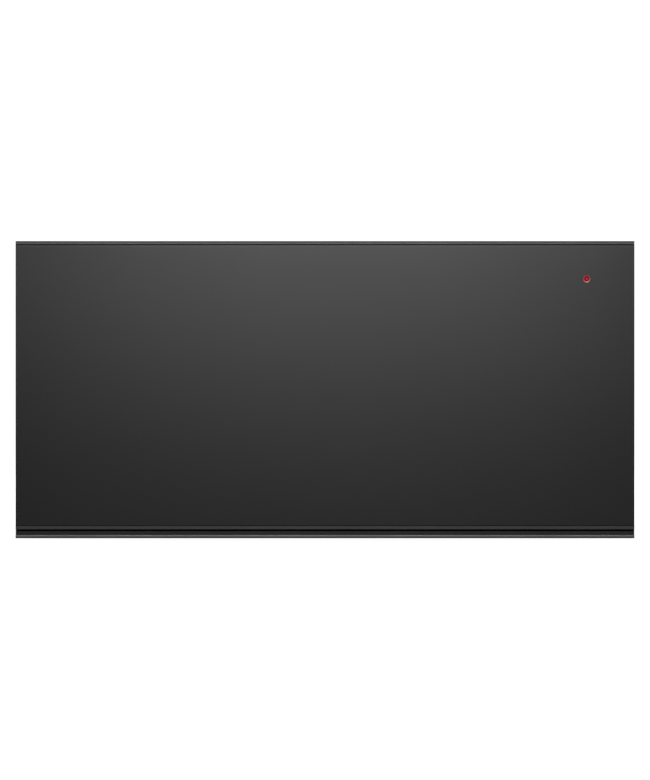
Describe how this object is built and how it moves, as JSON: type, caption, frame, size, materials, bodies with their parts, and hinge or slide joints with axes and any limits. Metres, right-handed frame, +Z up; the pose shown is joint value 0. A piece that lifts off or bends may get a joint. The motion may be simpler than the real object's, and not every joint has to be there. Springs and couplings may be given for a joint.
{
  "type": "built-in warming drawer",
  "caption": "Handleless built-in warming drawer: glass-fronted drawer pan on ball-bearing runners in a sheet housing, with fan heating behind the cavity and controls in a side column.",
  "frame": {"origin": "middle of the footprint, on the plane that the housing and the bottom trim stand on", "axes": "+X to the right seen from the front, +Y to the rear, so the glass front looks along -Y, +Z up"},
  "size_m": [0.757, 0.561, 0.3635],
  "materials": {
    "black_glass": "back-painted glass, glossy",
    "dark_aluminium": "anodised, satin",
    "grey_aluminium": "anodised, satin",
    "stainless": "brushed",
    "zinc_steel": "zinc-plated, matte",
    "rail_steel": "zinc-plated, smooth",
    "screw_steel": "bright",
    "mineral_wool": "fibrous",
    "silicone": "matte",
    "mat_silicone": "matte, ribbed",
    "clear_acrylic": "clear, lit red",
    "black_plastic": "fine texture",
    "light_plastic": "smooth",
    "green_board": "coated",
    "motor_iron": "laminated",
    "copper": "enamelled wire",
    "heater_tube": "annealed, dark",
    "lamp_red": "emissive lens"
  },
  "bodies": {
    "drawer": {"front_glass": "black_glass", "door_top_profile": "grey_aluminium", "door_bottom_profile": "dark_aluminium", "door_liner": "zinc_steel", "door_insulation": "mineral_wool", "door_gasket": "silicone", "light_guide": "clear_acrylic", "indicator_bezel": "grey_aluminium", "drawer_pan": "stainless", "carrier_brackets": "zinc_steel", "inner_rails": "rail_steel", "striker_blade": "zinc_steel", "drawer_screws": "screw_steel"},
    "mat": {"nonslip_mat": "mat_silicone"},
    "housing": {"base_pan": "zinc_steel", "left_side_panel": "zinc_steel", "right_side_panel": "zinc_steel", "top_panel": "zinc_steel", "rear_panel": "zinc_steel", "top_rail": "zinc_steel", "bottom_trim": "grey_aluminium", "stop_buffers": "silicone", "cavity_liner": "stainless", "insulation_blanket": "mineral_wool", "cavity_back": "zinc_steel", "back_insulation": "mineral_wool", "left_outer_rail": "rail_steel", "right_outer_rail": "rail_steel", "left_column_cover": "black_plastic", "control_fascia": "black_plastic", "selector_switch": "light_plastic", "rocker_housing": "black_plastic", "indicator_lamp": "lamp_red", "control_board": "green_board", "fan_cover": "stainless", "ring_heater": "heater_tube", "motor_core": "motor_iron", "motor_coil": "copper", "motor_bridges": "zinc_steel", "temperature_sensor": "stainless", "thermal_cutout": "light_plastic", "relay_board": "green_board", "terminal_block": "light_plastic", "cable_gland": "black_plastic", "wiring_loom": "black_plastic", "loom_clips": "light_plastic", "housing_screws": "screw_steel", "latch_housing": "light_plastic", "latch_spring": "screw_steel"},
    "left_middle": {"left_middle_rail": "rail_steel"},
    "right_middle": {"right_middle_rail": "rail_steel"},
    "left_outer_cage": {"left_outer_ball_cage": "rail_steel"},
    "right_outer_cage": {"right_outer_ball_cage": "rail_steel"},
    "left_inner_cage": {"left_inner_ball_cage": "rail_steel"},
    "right_inner_cage": {"right_inner_ball_cage": "rail_steel"},
    "fan": {"fan_impeller": "zinc_steel", "fan_shaft": "rail_steel"},
    "knob": {"temperature_knob": "black_plastic"},
    "rocker": {"power_rocker": "black_plastic"},
    "catch": {"latch_carriage": "light_plastic"}
  },
  "joints": [
    {"name": "drawer_slide", "type": "slide", "parent": "housing", "child": "drawer", "axis": [0, -1, 0], "range_m": [-0.003, 0.43], "deforming": ["door_gasket"]},
    {"name": "mat_lift", "type": "slide", "parent": "drawer", "child": "mat", "axis": [0, 0, 1], "range_m": [0, 0.2]},
    {"name": "fan_spin", "type": "hinge", "parent": "housing", "child": "fan", "pos_m": [0, 0.206, 0.19], "axis": [0, 1, 0], "continuous": true},
    {"name": "temperature_knob_turn", "type": "hinge", "parent": "housing", "child": "knob", "pos_m": [0.33375, -0.228, 0.2], "axis": [0, 1, 0], "range_deg": [0, 270]},
    {"name": "power_rocker_tilt", "type": "hinge", "parent": "housing", "child": "rocker", "pos_m": [0.33375, -0.226, 0.25], "axis": [1, 0, 0], "range_deg": [0, 14]},
    {"name": "latch_carriage_slide", "type": "slide", "parent": "housing", "child": "catch", "axis": [0, -1, 0], "range_m": [-0.003, 0.012], "deforming": ["latch_spring"]},
    {"name": "left_middle_rail_slide", "type": "slide", "parent": "housing", "child": "left_middle", "axis": [0, -1, 0], "range_m": [-0.0016, 0.2155]},
    {"name": "right_middle_rail_slide", "type": "slide", "parent": "housing", "child": "right_middle", "axis": [0, -1, 0], "range_m": [-0.0016, 0.2155]},
    {"name": "left_outer_cage_roll", "type": "slide", "parent": "housing", "child": "left_outer_cage", "axis": [0, -1, 0], "range_m": [-0.00085, 0.108]},
    {"name": "right_outer_cage_roll", "type": "slide", "parent": "housing", "child": "right_outer_cage", "axis": [0, -1, 0], "range_m": [-0.00085, 0.108]},
    {"name": "left_inner_cage_roll", "type": "slide", "parent": "housing", "child": "left_inner_cage", "axis": [0, -1, 0], "range_m": [-0.00235, 0.323]},
    {"name": "right_inner_cage_roll", "type": "slide", "parent": "housing", "child": "right_inner_cage", "axis": [0, -1, 0], "range_m": [-0.00235, 0.323]}
  ],
  "couplings": [
    {"joint": "left_middle_rail_slide", "follows": "drawer_slide", "ratio": 0.5},
    {"joint": "right_middle_rail_slide", "follows": "drawer_slide", "ratio": 0.5},
    {"joint": "left_outer_cage_roll", "follows": "drawer_slide", "ratio": 0.25},
    {"joint": "right_outer_cage_roll", "follows": "drawer_slide", "ratio": 0.25},
    {"joint": "left_inner_cage_roll", "follows": "drawer_slide", "ratio": 0.75},
    {"joint": "right_inner_cage_roll", "follows": "drawer_slide", "ratio": 0.75}
  ]
}
